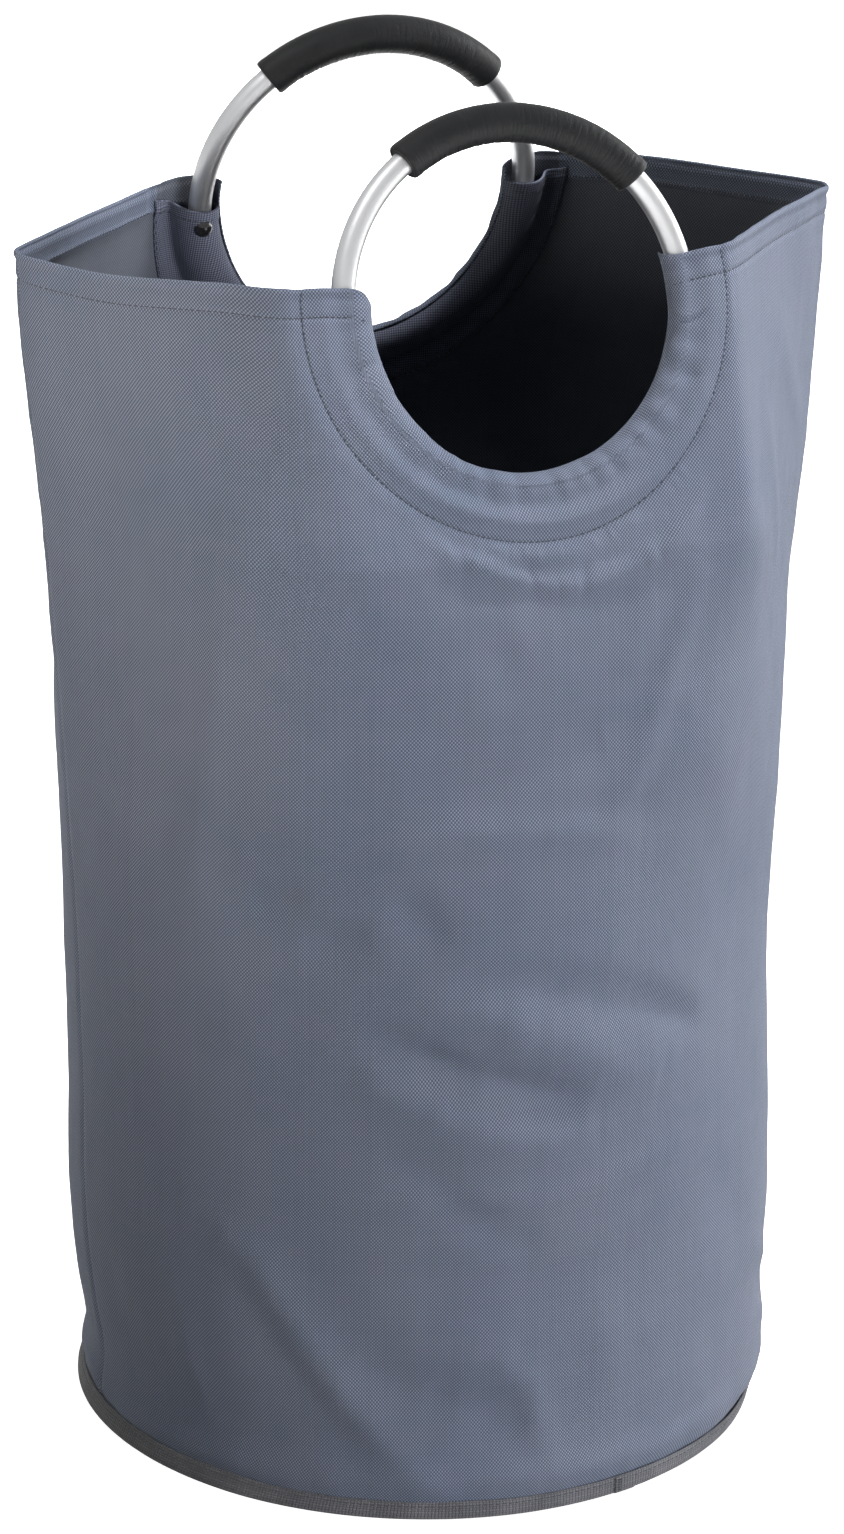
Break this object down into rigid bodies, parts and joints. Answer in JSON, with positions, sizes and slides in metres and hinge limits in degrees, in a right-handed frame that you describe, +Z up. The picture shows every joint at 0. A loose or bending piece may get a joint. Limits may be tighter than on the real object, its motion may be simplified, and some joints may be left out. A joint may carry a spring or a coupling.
{
  "type": "laundry bag",
  "caption": "Tall free-standing fabric laundry bag with a round stiffened base, a pointed open mouth and two round tube handles with foam grips.",
  "frame": {"origin": "middle of the round base, on the floor", "axes": "+Z up, front handle towards -Y, rear handle towards +Y, the mouth's corners along X"},
  "size_m": [0.438, 0.3552, 0.7207],
  "materials": {
    "bag_cloth": "coated twill weave, slight sheen",
    "facing_cloth": "coated twill weave, slight sheen",
    "base_cloth": "coated plain weave",
    "binding_tape": "woven tape",
    "board": "matte",
    "tube": "satin",
    "plug": "matte",
    "grip_foam": "soft matte foam",
    "rivet": "gloss black"
  },
  "bodies": {
    "bag": {"front_panel": "bag_cloth", "rear_panel": "bag_cloth", "left_seam_binding": "binding_tape", "right_seam_binding": "binding_tape", "base_panel": "base_cloth", "base_board": "board", "base_binding": "binding_tape"},
    "front_handle": {"front_facing": "facing_cloth", "front_ring": "tube", "front_ring_plug": "plug", "front_grip": "grip_foam", "front_rivet": "rivet"},
    "rear_handle": {"rear_facing": "facing_cloth", "rear_ring": "tube", "rear_ring_plug": "plug", "rear_grip": "grip_foam", "rear_rivet": "rivet"}
  },
  "joints": [
    {"name": "front_handle_tilt", "type": "hinge", "parent": "bag", "child": "front_handle", "pos_m": [0, -0.13, 0.535], "axis": [-1, 0, 0], "range_deg": [-14.5, 22.5], "stiffness_Nm_per_rad": 1.5, "deforming": ["front_panel"]},
    {"name": "rear_handle_tilt", "type": "hinge", "parent": "bag", "child": "rear_handle", "pos_m": [0, 0.13, 0.535], "axis": [1, 0, 0], "range_deg": [-6.5, 30.5], "stiffness_Nm_per_rad": 1.5, "deforming": ["rear_panel"]}
  ]
}
